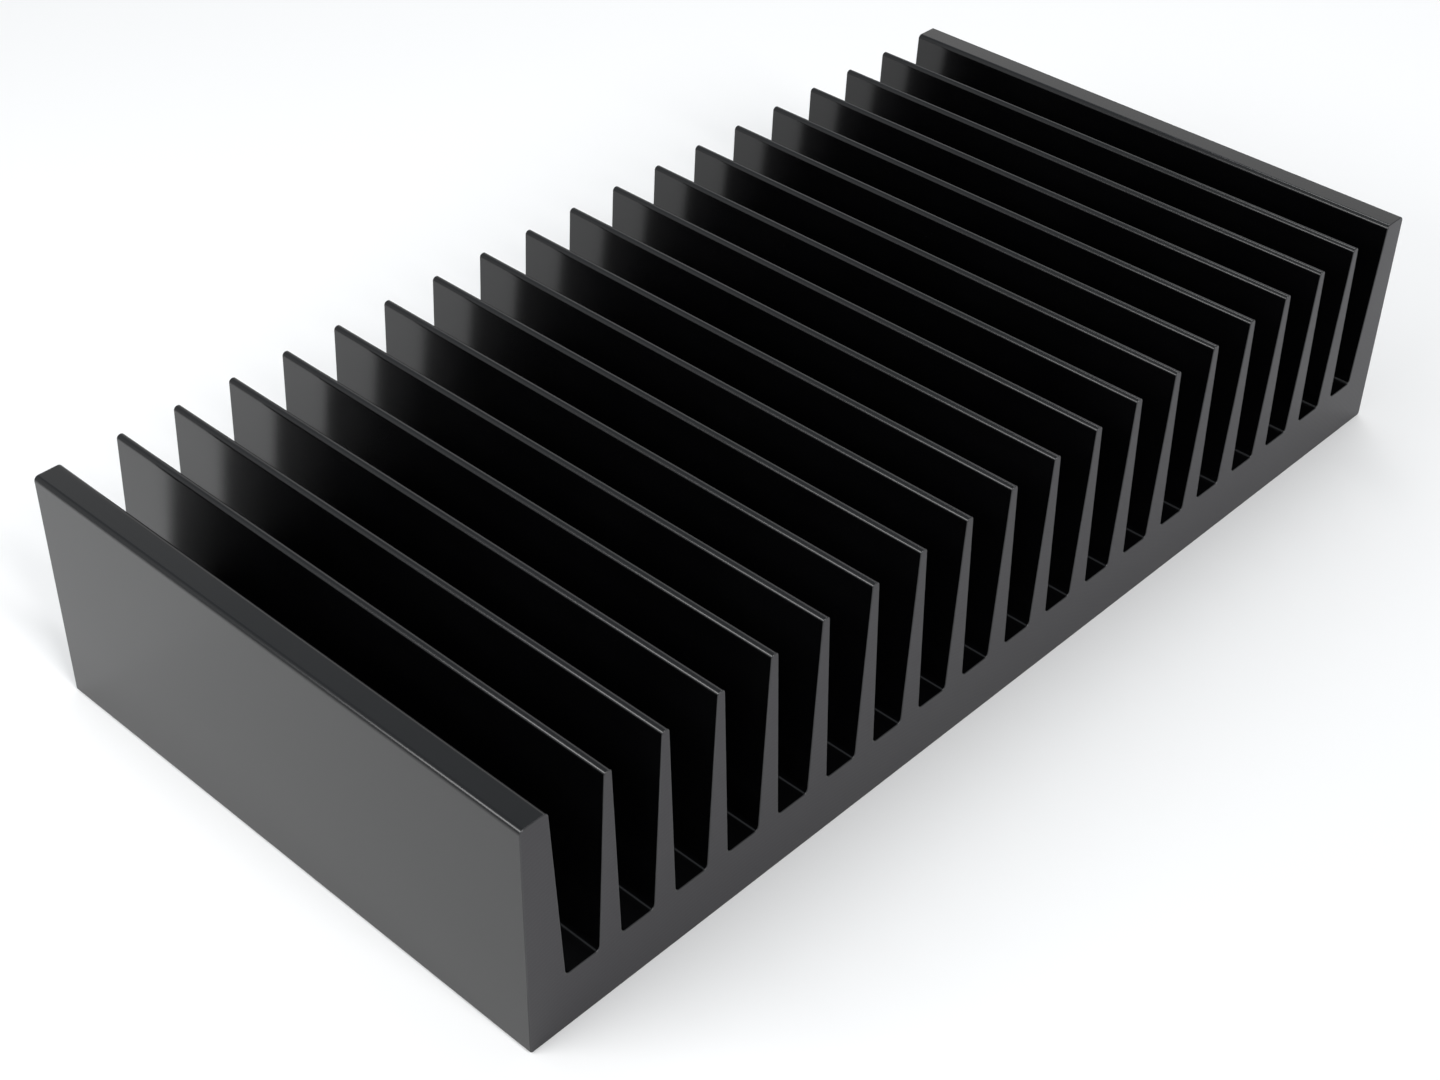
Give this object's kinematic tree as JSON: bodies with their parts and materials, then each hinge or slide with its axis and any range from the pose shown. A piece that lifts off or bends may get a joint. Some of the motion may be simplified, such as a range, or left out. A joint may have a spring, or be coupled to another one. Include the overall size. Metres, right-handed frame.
{
  "type": "heat sink",
  "caption": "Extruded black anodised heat sink: a thick flat base with a comb of tall tapered cooling fins between thicker end walls, sawn square at its ends.",
  "frame": {"origin": "centre of the flat mounting face", "axes": "+X across the fins, +Y along the extrusion, +Z from the mounting face towards the fin tips"},
  "size_m": [0.2, 0.1, 0.04],
  "materials": {
    "anodised_aluminium": "black anodised, satin"
  },
  "bodies": {
    "root": {"heat_sink": "anodised_aluminium"}
  },
  "joints": []
}
